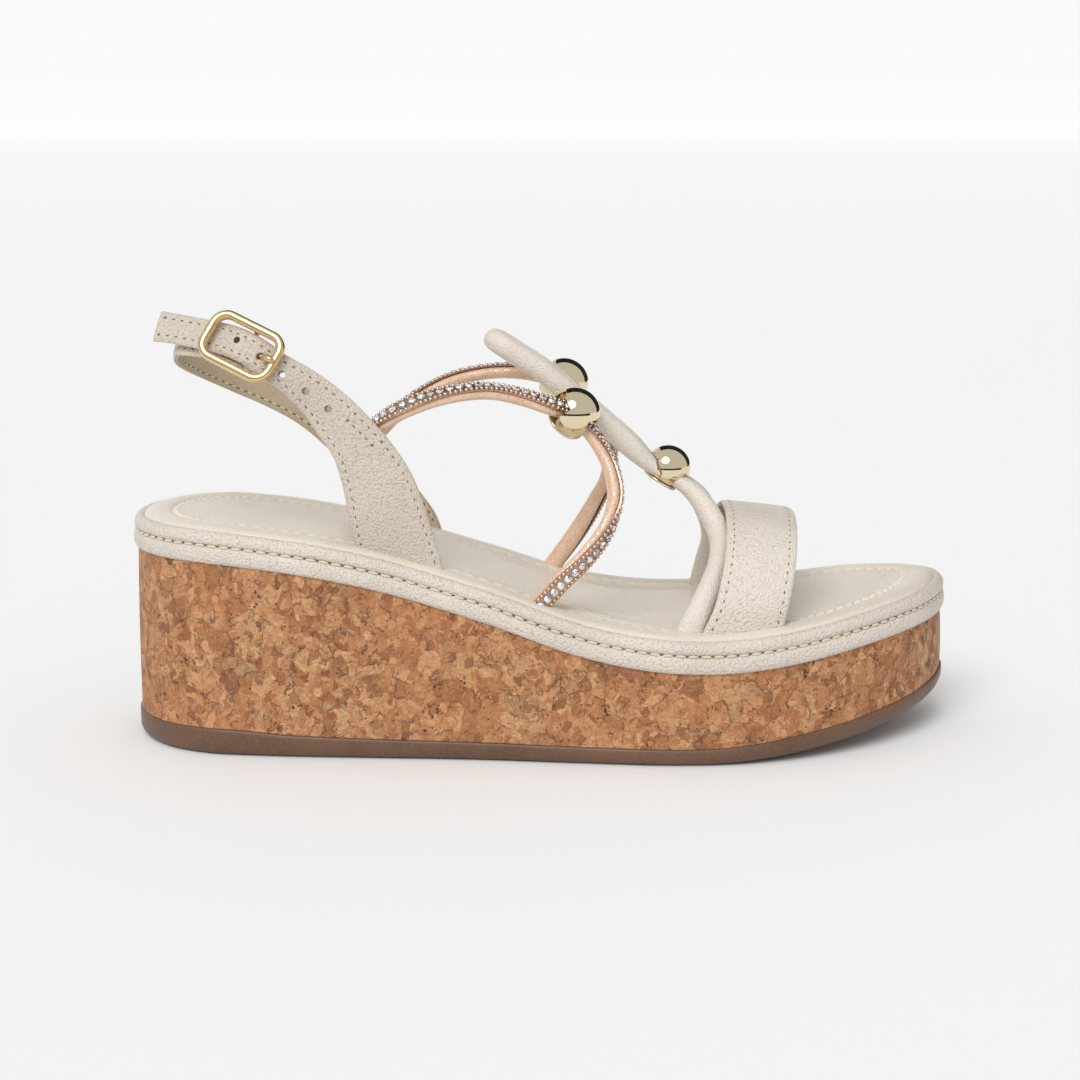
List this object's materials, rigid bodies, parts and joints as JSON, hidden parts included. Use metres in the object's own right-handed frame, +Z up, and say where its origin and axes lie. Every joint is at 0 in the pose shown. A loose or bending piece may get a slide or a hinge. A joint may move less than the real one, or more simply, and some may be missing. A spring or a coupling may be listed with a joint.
{
  "type": "wedge_sandal",
  "caption": "Women's wedge sandal for the right foot: cork-wrapped platform, padded footbed, toe band, cord instep with gold balls and stone-set straps, buckled ankle strap",
  "frame": {"origin": "centre of the sandal's bounding box at the ground", "axes": "+X to the toe, +Y to the inner (medial) side of the foot, +Z up"},
  "size_m": [0.2512, 0.089, 0.1318],
  "materials": {
    "outsole_rubber": "matt moulded, fine grain",
    "cork": "sealed agglomerated cork, satin",
    "moulded_foam": "hidden moulded foam",
    "fibreboard": "hidden pressed fibreboard",
    "cream_leather": "pearl cream, fine pebble grain, satin",
    "tan_lining": "smooth tan lining, satin",
    "pearl_footbed_leather": "pearl cream, soft sheen",
    "peach_suede": "metallic suede, fine glitter",
    "stone_trim": "clear stones between rose-gold beads, glossy",
    "pale_gold": "pale gold plating, mirror polish"
  },
  "bodies": {
    "sandal": {"outsole": "outsole_rubber", "platform_core": "moulded_foam", "cork_wrap": "cork", "insole_board": "fibreboard", "footbed_foam": "moulded_foam", "sock_lining": "pearl_footbed_leather", "edge_binding": "cream_leather", "toe_band_outer": "cream_leather", "toe_band_lining": "tan_lining", "instep_cord": "cream_leather", "stone_cord_lateral": "peach_suede", "stone_cord_medial": "peach_suede", "stone_trim_lateral": "stone_trim", "stone_trim_medial": "stone_trim", "ball_cap_lateral": "pale_gold", "ball_cap_medial": "pale_gold", "ball_cap_toe": "pale_gold", "ball_base_lateral": "pale_gold", "ball_base_medial": "pale_gold", "ball_base_toe": "pale_gold", "quarter_outer_lateral": "cream_leather", "quarter_lining_lateral": "tan_lining", "quarter_outer_medial": "cream_leather", "quarter_lining_medial": "tan_lining"},
    "strap_end": {"strap_outer": "cream_leather", "strap_lining": "tan_lining"},
    "heel_sling": {"heel_band_outer": "cream_leather", "heel_band_lining": "tan_lining"},
    "buckle": {"buckle_frame": "pale_gold"},
    "prong": {"buckle_prong": "pale_gold"}
  },
  "joints": [
    {"name": "strap_open", "type": "hinge", "parent": "sandal", "child": "strap_end", "pos_m": [-0.0592, -0.0321, 0.0994], "axis": [0.7341, 0, 0.6791], "range_deg": [0, 50], "stiffness_Nm_per_rad": 0.06, "deforming": ["strap_outer", "strap_lining"]},
    {"name": "sling_open", "type": "hinge", "parent": "sandal", "child": "heel_sling", "pos_m": [-0.0707, 0.029, 0.0933], "axis": [-0.6811, -0.015, -0.7321], "range_deg": [0, 40], "stiffness_Nm_per_rad": 0.06},
    {"name": "frame_swing", "type": "hinge", "parent": "heel_sling", "child": "buckle", "pos_m": [-0.0862, -0.0276, 0.1198], "axis": [0.4868, 0.3069, 0.8178], "range_deg": [-5, 5]},
    {"name": "prong_lift", "type": "hinge", "parent": "buckle", "child": "prong", "pos_m": [-0.0862, -0.0276, 0.1198], "axis": [-0.4868, -0.3069, -0.8178], "range_deg": [0, 75]}
  ]
}
